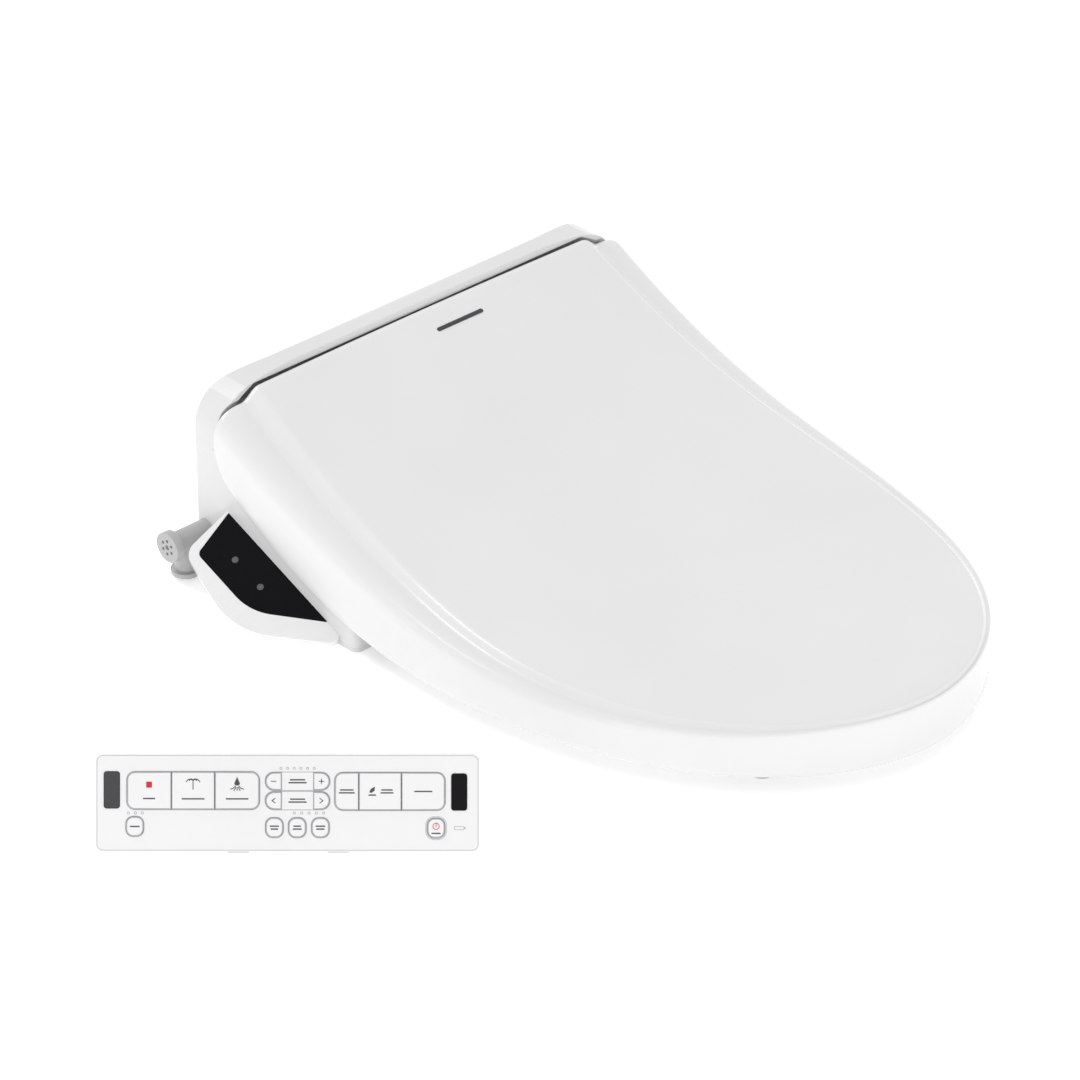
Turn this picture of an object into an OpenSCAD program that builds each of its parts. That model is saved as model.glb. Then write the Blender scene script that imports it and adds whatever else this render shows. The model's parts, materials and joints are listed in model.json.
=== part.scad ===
// Electric bidet seat with a remote control.
// Origin: midway between the two bowl bolts, on the rim of the bowl. The user faces -Y, +Z is up.

/* [Casing] */
// Half width of the housing
half_w = 195; // [192:1:196]
// Back wall, measured from the bolt line
back_y = 85; // [83:1:88]
// Front end of the side feet, measured from the bolt line
foot_y = -88; // [-90:1:-86]
// Front wall of the middle of the housing
front_y = -66; // [-68:1:-64]
// Front face of the rear beam, behind the lid
beam_y = 59.2; // [59:0.2:60]
// Top of the rear beam
beam_top = 146; // [144:1:148]
// Thickness of the moulded walls
wall = 2.5; // [2:0.5:3]

/* [Lid] */
// Half width of the lid
lid_half_w = 198; // [197:1:200]
// Tip of the lid, measured from the bolt line
lid_reach = 455; // [450:1:460]
// Rear edge of the lid, measured from the bolt line
lid_rear = 57; // [56:0.5:57.5]
// Height of the lid's top at its tip
lid_tip_z = 54.5; // [54:0.5:57]
// Height of the lid's top at its rear edge
lid_rear_z = 142; // [140:1:143]
// Height of the lower edge of the lid's skirt
skirt_z = 13.3; // [12:0.1:15]
// Thickness of the lid
lid_t = 2.5; // [2:0.5:2.5]

/* [Hinges] */
// Distance of the hinge axis behind the bolt line
hinge_y = 47; // [46:0.5:48]
// Height of the hinge axis
hinge_z = 124; // [123:0.5:125]
// Radius of the hinge pins
pin_r = 4; // [3.5:0.5:4]

/* [Seat] */
// Height of the top of the seat
seat_top_z = 44; // [42:0.5:44]
// Height of the underside of the seat
seat_low_z = 16; // [15:0.5:17]
// Gap between the lid's outline and the seat's
seat_inset = 9; // [8:1:12]

/* [Mounting] */
// Distance between the two bowl bolts
bolt_span = 140; // [130:1:155]
// Radius of the bolt holes
bolt_hole_r = 4.5; // [4:0.5:5.5]

/* [Remote control] */
// Width of the remote control
remote_w = 252; // [250:1:254]
// Height of the remote control's face
remote_h = 64; // [63:1:65]
// Thickness of the remote control
remote_t = 18; // [18:1:20]
// Lean of the remote control in its cradle, from upright
remote_lean = 31.5; // [30:0.5:33]
// Turn of the remote control about the vertical
remote_turn = -43; // [-45:1:-40]

/* [Hidden] */
$fn = 48;
eps = 0.05;
// The keys of the remote: name, left, right, bottom, top, corner radius, left and right end of its group.
group_a = [-105.4, -18.4];
group_b = [31, 103.4];
pill = [-14.5, 27.7];
KEYS = [
    ["key_stop", -105.4, -76.2, 27.7, 52.4, 5, group_a],
    ["key_rear_wash", -76.2, -47.7, 27.7, 52.4, 5, group_a],
    ["key_front_wash", -47.7, -18.4, 27.7, 52.4, 5, group_a],
    ["key_spray_less", -14.5, -3.8, 40.4, 52, 5.5, pill],
    ["key_spray_more", 16.9, 27.7, 40.4, 52, 5.5, pill],
    ["key_nozzle_forward", -14.5, -3.8, 27.7, 39.3, 5.5, pill],
    ["key_nozzle_back", 16.9, 27.7, 27.7, 39.3, 5.5, pill],
    ["key_nozzle_clean", 31, 46.8, 27.2, 52, 5, group_b],
    ["key_power_save", 46.8, 74.8, 27.2, 52, 5, group_b],
    ["key_massage", 74.8, 103.4, 27.2, 52, 5, group_b],
    ["key_dryer", -106, -94.4, 10, 23, 4.5, [-106, -94.4]],
    ["key_night_light", -14.4, -2.8, 9.3, 22.3, 4.5, [-14.4, -2.8]],
    ["key_seat_heat", 0.6, 12.2, 9.3, 22.3, 4.5, [0.6, 12.2]],
    ["key_water_heat", 15.8, 27.4, 9.3, 22.3, 4.5, [15.8, 27.4]],
    ["key_power", 91.7, 103.3, 9, 22, 4.5, [91.7, 103.3]],
];

// ---------- general helpers ----------

// A profile in the YZ plane, drawn out along X from x0 to x1.
module along_x(x0, x1)
    translate([x0, 0, 0]) rotate([90, 0, 90]) linear_extrude(x1 - x0) children();

// A profile in the XZ plane, drawn out along Y from y0 to y1.
module along_y(y0, y1)
    translate([0, y1, 0]) rotate([90, 0, 0]) linear_extrude(y1 - y0) children();

module x_cylinder(x0, x1, r, y, z)
    translate([x0, y, z]) rotate([0, 90, 0]) cylinder(h = x1 - x0, r = r);

module both_sides() {
    children();
    mirror([1, 0, 0]) children();
}

module rounded_rect(x0, x1, y0, y1, r) {
    translate([x0 + r, y0]) square([x1 - x0 - 2 * r, y1 - y0]);
    translate([x0, y0 + r]) square([x1 - x0, y1 - y0 - 2 * r]);
    for (x = [x0 + r, x1 - r], y = [y0 + r, y1 - r]) translate([x, y]) circle(r);
}

module rounded_box(x0, x1, y0, y1, z0, z1, r)
    translate([0, 0, z0]) linear_extrude(z1 - z0) rounded_rect(x0, x1, y0, y1, r);

// ---------- the lid's shape ----------

bend_y = -140;
tip_power = 2.3;
side_power = 1.88;
rise_power = 2.8;
dip = 30;
crown = 1.5;

function lid_u(y) = (y + lid_reach) / (lid_rear + lid_reach);
function lid_z(y) =
    lid_tip_z - dip * lid_u(y) + (lid_rear_z - lid_tip_z + dip) * pow(max(lid_u(y), 0), rise_power);
function edge_inset(y) = 3.5 + 38.5 * lid_u(y);
function band_w(y) = min(0.6 * edge_inset(y), 4 + 13 * lid_u(y));
function band_h(y) = 3 + 6 * lid_u(y);
// Height of the skirt's lower edge, which rises over the sides of the housing.
skirt_y = -160;
skirt_rise = 75;
function skirt_curve(y) =
    skirt_z + (y > skirt_y ? skirt_rise * pow((y - skirt_y) / (lid_rear - skirt_y), 2.16) : 0);
function skirt_low(y) = skirt_curve(y) + 14 * pow(max(y - 40, 0) / 17, 3);

// A point of the outline on its +X side, with its outward normal; reach and w set the size.
function outline_point(i, rows, curved, w, reach, rear) =
    i < rows - curved
        ? [w, i == 1 ? rear - rear_round : rear + (bend_y - rear) * i / (rows - curved), 1, 0]
        : let (
              a = 90 * (i - rows + curved) / curved,
              t = pow(sin(a), 2 / tip_power),
              x = w * pow(abs(cos(a)), 2 / side_power),
              gx = side_power * pow(x / w, side_power - 1) / w,
              gy = -tip_power * pow(t, tip_power - 1) / (reach + bend_y),
              g = norm([gx, gy])
          ) [x, bend_y - (reach + bend_y) * t, gx / g, gy / g];

lid_rows = 44;
lid_curved = 26;
rear_round = 2.5;
shoulder_steps = 5;
lid_edge = shoulder_steps + 3;
lid_across = 8;
lid_cols = 2 * lid_edge + lid_across;

// Half of a cross-section, from the skirt's lower edge up to the edge of the top face.
function half_section(y, drop) = let (
        inset = edge_inset(y),
        band = band_w(y),
        step = inset - band,
        fall = 0.8 * step + 2,
        top = lid_z(y) - drop - max(y - lid_rear + rear_round, 0) * 0.8
    ) concat(
        [[0, skirt_low(y)]],
        [for (k = [0:shoulder_steps]) let (a = 90 * k / shoulder_steps)
            [step * (1 - pow(cos(a), 0.83)), top - band_h(y) - fall * (1 - pow(sin(a), 0.83))]],
        [[step + 0.6 * band, top - 0.35 * band_h(y)], [inset, top]]
    );

function lid_row(i, inward) = let (
        p = outline_point(i, lid_rows, lid_curved, lid_half_w, lid_reach, lid_rear),
        half = half_section(p[1], inward),
        right = [for (s = half)
            [max(p[0] - p[2] * (s[0] + inward), 0), p[1] - p[3] * (s[0] + inward), s[1]]],
        e = right[lid_edge],
        lift = crown * min(e[0] / 60, 1)
    )
    i == lid_rows
        ? [for (q = right) [0, q[1], q[2]]]
        : concat(
              [for (q = right) [-q[0], q[1], q[2]]],
              [for (k = [1:lid_across - 1]) let (s = 2 * k / lid_across - 1)
                  [s * e[0], e[1], e[2] + lift * (1 - s * s)]],
              [for (k = [lid_edge:-1:0]) right[k]]
          );

// Vertex number in a sheet of rows and columns that closes to a line of points at its last row.
function sheet_at(i, j, start) =
    start + i * (lid_cols + 1) + (i < lid_rows ? j : min(j, lid_cols - j, lid_edge));
function distinct(f) = f[0] != f[1] && f[1] != f[2] && f[0] != f[2];
function quad(a, b, c, d) = [for (f = [[a, b, c], [a, c, d]]) if (distinct(f)) f];

module lid_sheet() {
    outer = [for (i = [0:lid_rows]) each lid_row(i, 0)];
    inner = [for (i = [0:lid_rows]) each lid_row(i, lid_t)];
    n = len(outer);
    top = [for (i = [0:lid_rows - 1], j = [0:lid_cols - 1]) each quad(
        sheet_at(i, j, 0), sheet_at(i, j + 1, 0), sheet_at(i + 1, j + 1, 0), sheet_at(i + 1, j, 0))];
    under = [for (i = [0:lid_rows - 1], j = [0:lid_cols - 1]) each quad(
        sheet_at(i, j, n), sheet_at(i + 1, j, n), sheet_at(i + 1, j + 1, n), sheet_at(i, j + 1, n))];
    rear = [for (j = [0:lid_cols - 1]) each quad(
        sheet_at(0, j, 0), sheet_at(0, j, n), sheet_at(0, j + 1, n), sheet_at(0, j + 1, 0))];
    left = [for (i = [0:lid_rows - 1]) each quad(
        sheet_at(i, 0, 0), sheet_at(i + 1, 0, 0), sheet_at(i + 1, 0, n), sheet_at(i, 0, n))];
    right = [for (i = [0:lid_rows - 1]) let (j = lid_cols) each quad(
        sheet_at(i, j, 0), sheet_at(i, j, n), sheet_at(i + 1, j, n), sheet_at(i + 1, j, 0))];
    polyhedron(points = concat(outer, inner), faces = concat(top, under, rear, left, right));
}

module lid_shell() color("white") lid_sheet();

lid_arm_x = [120, 134];
module lid_arms() color("gainsboro") both_sides() difference() {
    union() {
        along_x(lid_arm_x[0], lid_arm_x[1]) polygon(concat(
            [[hinge_y + 4, hinge_z], [hinge_y - 6, hinge_z - 4], [hinge_y - 30, hinge_z - 10]],
            [for (y = [hinge_y - 30:6:hinge_y + 6]) [y, lid_z(y) - lid_t + 0.5]]));
        x_cylinder(lid_arm_x[0], lid_arm_x[1], 7.5, hinge_y, hinge_z);
    }
    x_cylinder(lid_arm_x[0] - 1, lid_arm_x[1] + 1, pin_r + 0.06, hinge_y, hinge_z);
}

// Four pads under the lid, which come down on the seat.
module lid_bumpers() color("lightgray") both_sides() for (p = [[120, -330], [148, -190]])
    translate([p[0], p[1], seat_top_z + 0.15])
        cylinder(h = lid_z(p[1]) - lid_t - seat_top_z, r1 = 5, r2 = 6);

// A plain bar inlaid in the lid's top, without any mark.
badge_x = 19;
badge_y = 38.5;
module lid_badge() color("dimgray") translate([badge_x, badge_y, lid_z(badge_y) + crown * 0.98])
    rotate([atan2(lid_z(badge_y + 5) - lid_z(badge_y - 5), 10), 0, 0])
        rounded_box(-22, 22, -1.6, 1.6, -0.6, 0.35, 1.5);

// ---------- the seat ----------

seat_steps = 64;
seat_rear_y = -92;
hole_mid_y = -215;
hole_half_w = 104;
hole_front = 165;
hole_rear = 93;

function signed_pow(v, p) = sign(v) * pow(abs(v), p);
function seat_outer(a) = let (w = lid_half_w - seat_inset) sin(a) >= 0
    ? [w * signed_pow(cos(a), 2 / side_power),
       bend_y - (lid_reach - seat_inset + bend_y) * pow(sin(a), 2 / tip_power)]
    : [w * signed_pow(cos(a), 0.5), bend_y + (seat_rear_y - bend_y) * pow(-sin(a), 0.5)];
function seat_hole(a) = sin(a) >= 0
    ? [hole_half_w * cos(a), hole_mid_y - hole_front * pow(sin(a), 0.95)]
    : [hole_half_w * signed_pow(cos(a), 0.8), hole_mid_y + hole_rear * pow(-sin(a), 0.8)];
seat_angles = [for (i = [0:seat_steps - 1]) 360 * i / seat_steps];

function mix(a, b, s) = a + (b - a) * s;
// Ring section: share of the way from the outer edge to the hole, and height below the seat's top.
function ring_section(width) = let (t = wall / width) [
    [0, seat_low_z + wall - seat_top_z], [0, -14], [0.04, -8], [0.12, -3.5], [0.28, -0.6], [0.5, 0],
    [0.75, -1.6], [0.92, -5.5], [1, -13], [1, seat_low_z + wall - seat_top_z],
    [1 - t, seat_low_z + wall - seat_top_z], [1 - t, -14], [0.9 - t / 2, -9], [0.73, -5], [0.5, -3],
    [0.3, -3.8], [0.12 + t, -7.5], [0.04 + t, -13], [t, seat_low_z + wall - seat_top_z]];
ring_n = len(ring_section(50));

module seat_top() color("white") {
    points = [for (a = seat_angles) let (o = seat_outer(a), h = seat_hole(a))
        each [for (s = ring_section(norm(o - h)))
            [mix(o[0], h[0], s[0]), mix(o[1], h[1], s[0]), seat_top_z + s[1]]]];
    faces = [for (i = [0:seat_steps - 1], j = [0:ring_n - 1]) let (
            i2 = (i + 1) % seat_steps, j2 = (j + 1) % ring_n)
        each quad(i * ring_n + j, i * ring_n + j2, i2 * ring_n + j2, i2 * ring_n + j)];
    polyhedron(points = points, faces = faces);
}

module seat_ring_plan(inset) difference() {
    offset(delta = -inset) polygon([for (a = seat_angles) seat_outer(a)]);
    offset(delta = inset) polygon([for (a = seat_angles) seat_hole(a)]);
}

module seat_bottom() color("gainsboro") translate([0, 0, seat_low_z])
    linear_extrude(wall - eps) seat_ring_plan(0.3);

module seat_heater() color("darkorange") translate([0, 0, seat_top_z - 11])
    linear_extrude(0.6) seat_ring_plan(11);

module seat_bumpers() color("lightgray") both_sides() for (p = [[92, -385], [150, -190]])
    translate([p[0], p[1], 0]) cylinder(h = seat_low_z - eps, r1 = 8, r2 = 9);

seat_arm_x = [142, 152];
arm_low_z = 31;
function arm_mid(y) = arm_low_z + (hinge_z - arm_low_z) * (y - seat_rear_y) / (hinge_y - seat_rear_y);
module seat_arms() color("white") both_sides() difference() {
    union() {
        along_x(seat_arm_x[0], seat_arm_x[1]) polygon(concat(
            [for (y = [seat_rear_y + 0.3, hinge_y]) [y, arm_mid(y) - 7.5]],
            [for (y = [hinge_y, seat_rear_y + 0.3]) [y, arm_mid(y) + 7.5]]));
        x_cylinder(seat_arm_x[0], seat_arm_x[1], 7.8, hinge_y, hinge_z);
    }
    x_cylinder(seat_arm_x[0] - 1, seat_arm_x[1] + 1, pin_r + 0.06, hinge_y, hinge_z);
}

// ---------- hinges ----------

boss_x = [136, 140];
module hinge_pins() color("silver") both_sides()
    x_cylinder(lid_arm_x[0] - 1.5, seat_arm_x[1] + 1, pin_r, hinge_y, hinge_z);

damper_x = [84, 116];
damper_r = 5.8;
module hinge_dampers() color("dimgray") both_sides() {
    x_cylinder(damper_x[0], damper_x[1], damper_r, hinge_y, hinge_z);
    x_cylinder(damper_x[1], lid_arm_x[0] - 1.6, 3, hinge_y, hinge_z);
}

// ---------- the casing ----------

middle_w = 116;
trough_z = 101;
front_top_z = 62;
split_z = 3;
corner_r = 6;
beam_low = 80;

// The top of each wing follows the lower edge of the lid's skirt.
function deck_z(y) = skirt_low(min(y, lid_rear)) - 2;
function deck_profile(inset) = concat(
    [[back_y - inset, split_z], [foot_y + inset, split_z]],
    [for (k = [0:24]) let (y = mix(foot_y + inset, lid_rear, k / 24)) [y, deck_z(y) - inset]],
    [[beam_y + 4, deck_z(beam_y) - inset], [beam_y + 8, beam_low - inset], [back_y - inset, beam_low - inset]]);
function middle_profile(inset) = concat(
    [[back_y - inset, split_z], [front_y + inset, split_z], [front_y + inset, front_top_z - inset],
     [front_y + 3 + inset, front_top_z + 6 - inset]],
    [for (k = [0:12]) let (y = mix(front_y + 8, 20 - inset, k / 12)) [y, lid_z(y) - 9 - inset]],
    [[26 - inset, trough_z - inset], [back_y - inset, trough_z - inset]]);

// Outline of the rear beam seen from behind: a low arch with wide round shoulders.
function beam_arch(inset) = let (w = half_w - inset, h = beam_top - inset - beam_low) concat(
    [[-w, split_z]],
    [for (k = [-18:18]) let (a = 90 * pow(1 - abs(k) / 18, 1.5))
        [w * sign(k) * pow(cos(a), 2 / 9), beam_low + h * pow(sin(a), 0.656)]],
    [[w, split_z]]);
beam_edge_r = 3;
function beam_section() = concat(
    [[beam_y, 70], [beam_y, beam_top - beam_edge_r]],
    [for (a = [180:-15:90]) [beam_y + beam_edge_r * (1 + cos(a)), beam_top - beam_edge_r * (1 - sin(a))]],
    beam_round(0),
    [[back_y, split_z], [back_y - 10, split_z]]);
function beam_round(inset) = let (r = 13) [for (a = [90:-15:0])
    [back_y - r + (r - inset) * cos(a), beam_top - r + (r - inset) * sin(a)]];
function beam_hollow() = concat(
    [[beam_y + 12, split_z - 2], [beam_y + 12, beam_top - wall]],
    beam_round(wall),
    [[back_y - wall, split_z - 2]]);

// What the lid's rear edge sweeps as it swings past the beam: distance from the middle and radius.
// The radius is smaller at the shoulders, where the edge is nearer to the hinge axis.
sweep = [[0, 21.4], [158, 21.4], [173, 15.2], [190, 15.2], [half_w + 5, 17.6]];
module lid_sweep() both_sides() translate([0, hinge_y, hinge_z]) rotate([0, 90, 0]) rotate_extrude()
    polygon(concat([[0, 0]], [for (s = sweep) [s[1], s[0]]], [[0, half_w + 5]]));

module cover_outside() difference() {
    union() {
        intersection() {
            both_sides() along_x(middle_w - eps, half_w) polygon(deck_profile(0));
            rounded_box(-half_w, half_w, foot_y, back_y, 0, beam_top, corner_r);
        }
        along_x(-middle_w, middle_w) polygon(middle_profile(0));
        intersection() {
            along_x(-half_w, half_w) polygon(beam_section());
            along_y(beam_y - 1, back_y + 1) polygon(beam_arch(0));
            rounded_box(-half_w, half_w, foot_y, back_y, 0, beam_top + 1, corner_r);
        }
    }
    lid_sweep();
}

module cover_inside() {
    along_x(-half_w + wall, half_w - wall) polygon(deck_profile(wall));
    along_x(-middle_w + wall, middle_w - wall) polygon(middle_profile(wall));
    intersection() {
        along_y(beam_y + 12, back_y - wall) polygon(beam_arch(wall));
        along_x(-half_w, half_w) polygon(beam_hollow());
    }
    translate([-half_w - 1, foot_y - 1, -1]) cube([2 * half_w + 2, back_y - foot_y + 2, split_z + 1 + eps]);
}

// Uprights that carry the hinge pins and the dampers.
head_r = 7.6;
module hinge_uprights() both_sides() {
    for (x = [boss_x, [damper_x[0] - 4, damper_x[0]], [108, 112]]) {
        foot = x == boss_x ? deck_z(hinge_y - 12) - 1 : trough_z - 1;
        x_cylinder(x[0], x[1], head_r, hinge_y, hinge_z);
        along_x(x[0], x[1]) polygon([[hinge_y - 12, foot], [hinge_y + 12, foot],
            [hinge_y + head_r - 0.6, hinge_z - 3], [hinge_y - head_r + 0.6, hinge_z - 3]]);
    }
}

plate_slot = [119, 10.6];
port_x = 22;
flap_x = [62, 88];
flap_z = [12, 27];
button_y = 40;
button_z = 30;
button_r = 7;
inlet_y = 72;
inlet_z = 30.4;
gland_y = 62;
gland_z = 22;
lens_x = -62;

module rear_cover() color("white") difference() {
    union() {
        difference() {
            cover_outside();
            cover_inside();
        }
        hinge_uprights();
    }
    both_sides() {
        x_cylinder(boss_x[0] - 1, boss_x[1] + 1, pin_r + 0.03, hinge_y, hinge_z);
        x_cylinder(damper_x[0] - eps, middle_w - 2, damper_r + 0.03, hinge_y, hinge_z);
    }
    // way out at the back for the mounting plate
    translate([-plate_slot[0], back_y - wall - 1, -1]) cube([2 * plate_slot[0], wall + 2, plate_slot[1] + 1]);
    // nozzle port, dryer outlet and lamp hole in the front wall
    along_y(front_y - 1, front_y + wall + 1) rounded_rect(-port_x, port_x, split_z + 0.5, 27, 6);
    translate([flap_x[0], front_y - 1, flap_z[0]])
        cube([flap_x[1] - flap_x[0], wall + 2, flap_z[1] - flap_z[0]]);
    along_y(front_y - 1, front_y + wall + 1) translate([lens_x, 34]) circle(5);
    // holes in the side walls: release button, water inlet and mains cord
    x_cylinder(half_w - wall - 1, half_w + 1, button_r + 0.3, button_y, button_z);
    x_cylinder(-half_w - 1, -half_w + wall + 1, 8.6, inlet_y, inlet_z);
    x_cylinder(half_w - wall - 1, half_w + 1, 6, gland_y, gland_z);
}

channel_front_y = -42;
module tray_plan() difference() {
    rounded_rect(-half_w, half_w, foot_y, back_y, corner_r);
    translate([-middle_w, foot_y - 1]) square([2 * middle_w, front_y - foot_y + 1]);
}
module base_tray() color("gainsboro") difference() {
    union() {
        linear_extrude(split_z - eps) tray_plan();
        translate([-plate_slot[0] + 1, channel_front_y - 3, 1])
            cube([2 * plate_slot[0] - 2, back_y - channel_front_y + 3, 9.4]);
    }
    translate([-106, channel_front_y, -1]) cube([212, 200, 5]);
    translate([-114.5, channel_front_y, 2.9]) cube([229, 200, 4.8]);
}

module housing_screws() color("dimgray") both_sides() for (p = [[182, -70], [182, 70], [126, 70]])
    translate([p[0], p[1], 0.4]) {
        cylinder(h = 2, r = 3.5);
        cylinder(h = 10, r = 1.6);
    }

// ---------- the plate that is bolted to the bowl ----------

plate_front_y = -38;
plate_rear_y = 40;
module mounting_plate() color("lightgray") difference() {
    union() {
        rounded_box(-105.5, 105.5, plate_front_y, plate_rear_y, 0, 4, 4);
        rounded_box(-114, 114, plate_front_y, plate_rear_y, 3.2, 7.2, 4);
    }
    both_sides() {
        rounded_box(bolt_span / 2 - 17, bolt_span / 2 + 17, -17, 17, 3.2, 8, 3);
        rounded_box(bolt_span / 2 - 14, bolt_span / 2 + 14, -8, 8, -1, 8, 7.9);
    }
    both_sides() rounded_box(12, 44, -22, 22, -1, 9, 3);
}

module bolt_plates() color("white") both_sides() difference() {
    rounded_box(bolt_span / 2 - 16.8, bolt_span / 2 + 16.8, -16.8, 16.8, 3.2, 7, 2.8);
    translate([bolt_span / 2, 0, 0]) cylinder(h = 10, r = bolt_hole_r);
}

// ---------- the control panel on the user's right ----------

// The panel slopes forward by its pitch and outward by its roll.
// On it, u runs forward, v outward and w into the panel.
panel_corner = [-half_w, 46.6, 55.4];
panel_pitch = 22;
panel_roll = 28;
module on_panel() translate(panel_corner)
    rotate([panel_pitch, 0, 0]) rotate([0, -panel_roll, 0]) rotate([0, 0, -90]) rotate([180, 0, 0])
        children();

module outer_side(v) intersection() {
    children();
    translate([-5, v]) square([140, 60]);
}
module window_plan(grow) outer_side(-grow) hull() {
    translate([0.5, 0.5]) circle(0.5 + grow);
    translate([13.5, 31]) circle(5 + grow, $fn = 32);
    translate([53.4, -9]) circle(45 + grow, $fn = 160);
    translate([112, 0.5]) circle(0.5 + grow);
}
bezel_depth = 14;
module bezel_plan() outer_side(-1.5) hull() {
    window_plan(1.5);
    translate([14, 31.5]) circle(12.5, $fn = 48);
    translate([56, -8]) circle(58.5, $fn = 160);
    translate([120, 4]) circle(8);
}
window_t = 1.6;
module outside_housing() intersection() {
    children();
    translate([-half_w - 60, -100, 0.1]) cube([60 - eps, 200, 80]);
}
module side_bezel() color("white") outside_housing() on_panel() difference() {
    linear_extrude(bezel_depth) bezel_plan();
    translate([0, 0, -1]) linear_extrude(window_t + 1) window_plan(0.1);
    translate([14, 8, -1]) cube([52, 20, 8]);
}

lamps = [[31.5, 19], [60, 18.7]];
lamp_r = 2.4;
module panel_window() color("black") outside_housing() on_panel() difference() {
    linear_extrude(window_t) window_plan(0);
    for (p = lamps) translate([p[0], p[1], -1]) cylinder(h = 5, r = lamp_r + eps);
}
module status_lamps() color("gray") on_panel() for (p = lamps)
    translate([p[0], p[1], -0.2]) cylinder(h = 4, r = lamp_r);

// ---------- water ----------

inlet_end = -225;
port_centre = -215;
port_r = 8;
port_bore_r = 5;
port_seat_z = 20;
module inlet_tee() color("gainsboro") difference() {
    union() {
        x_cylinder(inlet_end, -150, 8.5, inlet_y, inlet_z);
        translate([port_centre, inlet_y, 4]) cylinder(h = inlet_z - 4, r = port_r);
        translate([port_centre, inlet_y, 4]) cylinder(h = 3.5, r = port_r + 3);
    }
    x_cylinder(inlet_end - 1, -160, 5, inlet_y, inlet_z);
    translate([port_centre, inlet_y, 3]) cylinder(h = port_seat_z - 3, r = port_bore_r);
    translate([port_centre, inlet_y, 3]) cylinder(h = inlet_z - 3, r = port_bore_r - 1.5);
}

// Screwed plug that holds the strainer, with a cross of slots for turning it.
module strainer_plug() color("white") {
    difference() {
        x_cylinder(inlet_end - 6.5, inlet_end - 0.3, 11.5, inlet_y, inlet_z);
        for (a = [30:60:150]) translate([inlet_end - 7.5, inlet_y, inlet_z]) rotate([a, 0, 0])
            for (s = [-1, 1]) translate([0, s * 5.2, 0]) rotate([0, 90, 0]) cylinder(h = 3.5, r = 1.3);
        x_cylinder(inlet_end - 7.5, inlet_end - 5, 2, inlet_y, inlet_z);
    }
    x_cylinder(inlet_end - 0.4, inlet_end + 3, 4.92, inlet_y, inlet_z);
    difference() {
        x_cylinder(inlet_end + 2.9, -172, 3.6, inlet_y, inlet_z);
        x_cylinder(inlet_end + 4, -171, 2.8, inlet_y, inlet_z);
    }
}

module solenoid_valve() color("steelblue") {
    x_cylinder(-149.9, -128, 11, inlet_y - 4, inlet_z);
    translate([-146, inlet_y - 44, inlet_z - 12]) cube([20, 36, 24]);
}

module water_heater() color("orange") {
    rounded_box(-108, -48, -16, 44, 12, 74, 6);
    translate([-78, 14, 73.9]) cylinder(h = 8, r = 5);
}

module water_pump() color("slategray") {
    translate([-85, -40, 14]) cylinder(h = 34, r = 17);
    translate([-85, -40, 47.9]) cylinder(h = 10, r = 5);
}

// ---------- nozzles ----------

nozzle_tilt = 25;
nozzle_z = 14;
nozzle_x = 11;
nozzle_r = 6.5;
nozzle_len = 112;
tip_len = 14;
module along_nozzle() translate([0, front_y, nozzle_z]) rotate([nozzle_tilt, 0, 0])
    rotate([-90, 0, 0]) children();

module nozzle_guide() color("lightgray") along_nozzle() difference() {
    translate([-24, -12, 14]) cube([48, 24, 44]);
    both_sides() translate([nozzle_x, 0, 10]) cylinder(h = 60, r = nozzle_r + 0.08);
}

module nozzle_wand(x) color("whitesmoke") along_nozzle() translate([x, 0, 0]) {
    translate([0, 0, tip_len]) cylinder(h = nozzle_len - tip_len, r = nozzle_r);
    translate([0, 0, nozzle_len - 0.1]) cylinder(h = 7, r = 3);
}
module nozzle_tip(x, holes) color("silver") along_nozzle() translate([x, 0, 0]) difference() {
    union() {
        translate([0, 0, nozzle_r * 0.6]) cylinder(h = tip_len - eps - nozzle_r * 0.6, r = nozzle_r);
        intersection() {
            translate([0, 0, nozzle_r]) sphere(nozzle_r);
            translate([-8, -8, 0]) cube([16, 16, nozzle_r * 0.6 + 0.1]);
        }
    }
    for (k = [0:holes - 1]) translate([2.4 * (k - (holes - 1) / 2), -3, 9])
        rotate([90, 0, 0]) cylinder(h = 8, r = 0.7);
}
module nozzle_rear() nozzle_wand(-nozzle_x);
module nozzle_front() nozzle_wand(nozzle_x);
module nozzle_rear_tip() nozzle_tip(-nozzle_x, 1);
module nozzle_front_tip() nozzle_tip(nozzle_x, 3);

module nozzle_motors() color("dimgray") along_nozzle() both_sides()
    translate([24.1, 0, 36]) rotate([0, 90, 0]) cylinder(h = 13, r = 11);

// ---------- warm air ----------

fan_x = [60, 90];
fan_y = 16;
fan_z = 52;
fan_r = 30;
module dryer_housing() color("dimgray") difference() {
    union() {
        x_cylinder(fan_x[0], fan_x[1], fan_r, fan_y, fan_z);
        x_cylinder(fan_x[0] - 12, fan_x[0] + 1, 13, fan_y, fan_z);
    }
    x_cylinder(fan_x[0] + 2, fan_x[1] - 2, fan_r - 2, fan_y, fan_z);
    x_cylinder(fan_x[1] - 3, fan_x[1] + 1, 16, fan_y, fan_z);
    translate([fan_x[0] + 3, fan_y - 40, 23.9]) cube([24, 40, 14]);
}
module dryer_impeller() color("gainsboro") {
    x_cylinder(fan_x[0] + 3, fan_x[0] + 4.5, fan_r - 5, fan_y, fan_z);
    x_cylinder(fan_x[0] + 4, fan_x[1] - 5, 8, fan_y, fan_z);
    for (k = [0:17]) translate([0, fan_y, fan_z]) rotate([20 * k, 0, 0])
        translate([fan_x[0] + 4.4, -0.5, fan_r - 13]) cube([fan_x[1] - fan_x[0] - 10, 1, 8]);
}
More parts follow.
